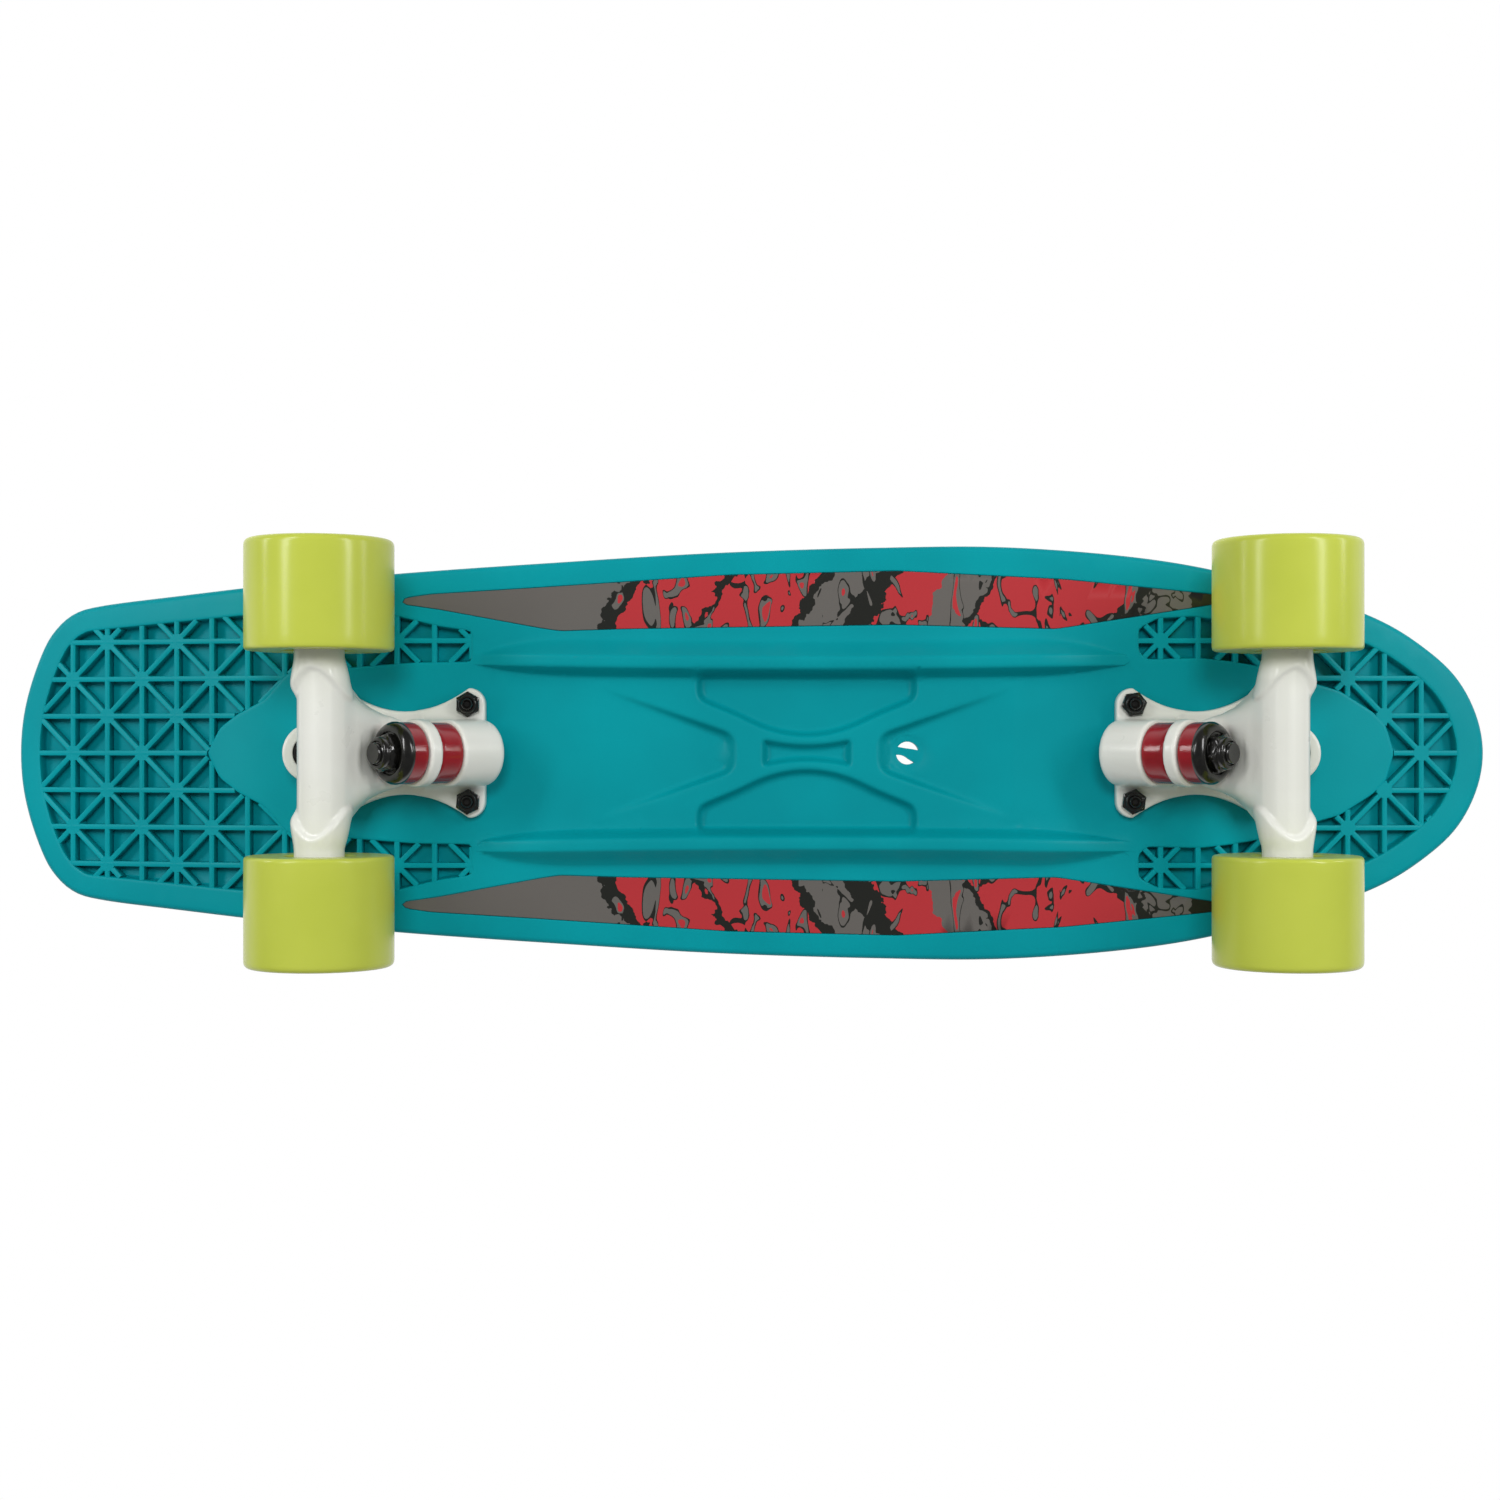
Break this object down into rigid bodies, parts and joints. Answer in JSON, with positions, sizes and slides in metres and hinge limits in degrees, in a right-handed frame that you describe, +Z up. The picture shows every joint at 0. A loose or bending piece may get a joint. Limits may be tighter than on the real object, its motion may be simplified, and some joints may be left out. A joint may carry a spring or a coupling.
{
  "type": "cruiser skateboard",
  "caption": "Small moulded plastic cruiser skateboard with a kicked tail, ribbed underside, two sprung kingpin trucks and four urethane wheels on ball bearings.",
  "frame": {"origin": "On the ground, below the middle of the deck's length and width, with the board standing on its four wheels.", "axes": "+X to the nose, +Y to the rider's left as the board rolls nose first, +Z up."},
  "size_m": [0.635, 0.177, 0.1169],
  "materials": {
    "deck_plastic": "satin moulded polypropylene",
    "graphic_film": "printed film let into the underside",
    "white_casting": "white powder coat on die-cast aluminium",
    "lime_urethane": "cast and turned urethane",
    "red_urethane": "clear-tinted poured urethane",
    "black_steel": "black oxide",
    "bright_steel": "ground and zinc plated",
    "black_rubber": "moulded"
  },
  "bodies": {
    "board": {"deck": "deck_plastic", "left_graphic_strip": "graphic_film", "right_graphic_strip": "graphic_film", "nose_baseplate": "white_casting", "nose_pivot_cup": "black_rubber", "nose_kingpin": "black_steel", "nose_kingpin_nut": "black_steel", "nose_cup_washer": "black_steel", "nose_bushing_board_side": "red_urethane", "nose_bushing_road_side": "red_urethane", "nose_truck_bolt_1": "black_steel", "nose_truck_bolt_2": "black_steel", "nose_truck_bolt_3": "black_steel", "nose_truck_bolt_4": "black_steel", "nose_lock_nut_1": "black_steel", "nose_lock_nut_2": "black_steel", "nose_lock_nut_3": "black_steel", "nose_lock_nut_4": "black_steel", "tail_baseplate": "white_casting", "tail_pivot_cup": "black_rubber", "tail_kingpin": "black_steel", "tail_kingpin_nut": "black_steel", "tail_cup_washer": "black_steel", "tail_bushing_board_side": "red_urethane", "tail_bushing_road_side": "red_urethane", "tail_truck_bolt_1": "black_steel", "tail_truck_bolt_2": "black_steel", "tail_truck_bolt_3": "black_steel", "tail_truck_bolt_4": "black_steel", "tail_lock_nut_1": "black_steel", "tail_lock_nut_2": "black_steel", "tail_lock_nut_3": "black_steel", "tail_lock_nut_4": "black_steel"},
    "nose_steering_arm": {"nose_hanger": "white_casting", "nose_axle": "bright_steel", "nose_left_bearing_spacer": "bright_steel", "nose_left_axle_nut": "bright_steel", "nose_right_bearing_spacer": "bright_steel", "nose_right_axle_nut": "bright_steel"},
    "nose_left_wheel_set": {"nose_left_wheel": "lime_urethane", "nose_left_inner_bearing": "bright_steel", "nose_left_outer_bearing": "bright_steel"},
    "nose_right_wheel_set": {"nose_right_wheel": "lime_urethane", "nose_right_inner_bearing": "bright_steel", "nose_right_outer_bearing": "bright_steel"},
    "tail_steering_arm": {"tail_hanger": "white_casting", "tail_axle": "bright_steel", "tail_left_bearing_spacer": "bright_steel", "tail_left_axle_nut": "bright_steel", "tail_right_bearing_spacer": "bright_steel", "tail_right_axle_nut": "bright_steel"},
    "tail_left_wheel_set": {"tail_left_wheel": "lime_urethane", "tail_left_inner_bearing": "bright_steel", "tail_left_outer_bearing": "bright_steel"},
    "tail_right_wheel_set": {"tail_right_wheel": "lime_urethane", "tail_right_inner_bearing": "bright_steel", "tail_right_outer_bearing": "bright_steel"}
  },
  "joints": [
    {"name": "nose_steering", "type": "hinge", "parent": "board", "child": "nose_steering_arm", "pos_m": [0.1825, 0, 0.045], "axis": [0.8926, 0, 0.4508], "range_deg": [-12, 12], "stiffness_Nm_per_rad": 20, "deforming": ["nose_bushing_board_side", "nose_bushing_road_side"]},
    {"name": "nose_left_wheel_spin", "type": "hinge", "parent": "nose_steering_arm", "child": "nose_left_wheel_set", "pos_m": [0.2195, 0.0638, 0.03], "axis": [0, 1, 0], "continuous": true},
    {"name": "nose_right_wheel_spin", "type": "hinge", "parent": "nose_steering_arm", "child": "nose_right_wheel_set", "pos_m": [0.2195, -0.0638, 0.03], "axis": [0, 1, 0], "continuous": true},
    {"name": "tail_steering", "type": "hinge", "parent": "board", "child": "tail_steering_arm", "pos_m": [-0.1344, 0, 0.045], "axis": [-0.8926, 0, 0.4508], "range_deg": [-12, 12], "stiffness_Nm_per_rad": 20, "deforming": ["tail_bushing_board_side", "tail_bushing_road_side"]},
    {"name": "tail_left_wheel_spin", "type": "hinge", "parent": "tail_steering_arm", "child": "tail_left_wheel_set", "pos_m": [-0.1714, 0.0638, 0.03], "axis": [0, 1, 0], "continuous": true},
    {"name": "tail_right_wheel_spin", "type": "hinge", "parent": "tail_steering_arm", "child": "tail_right_wheel_set", "pos_m": [-0.1714, -0.0638, 0.03], "axis": [0, 1, 0], "continuous": true}
  ]
}
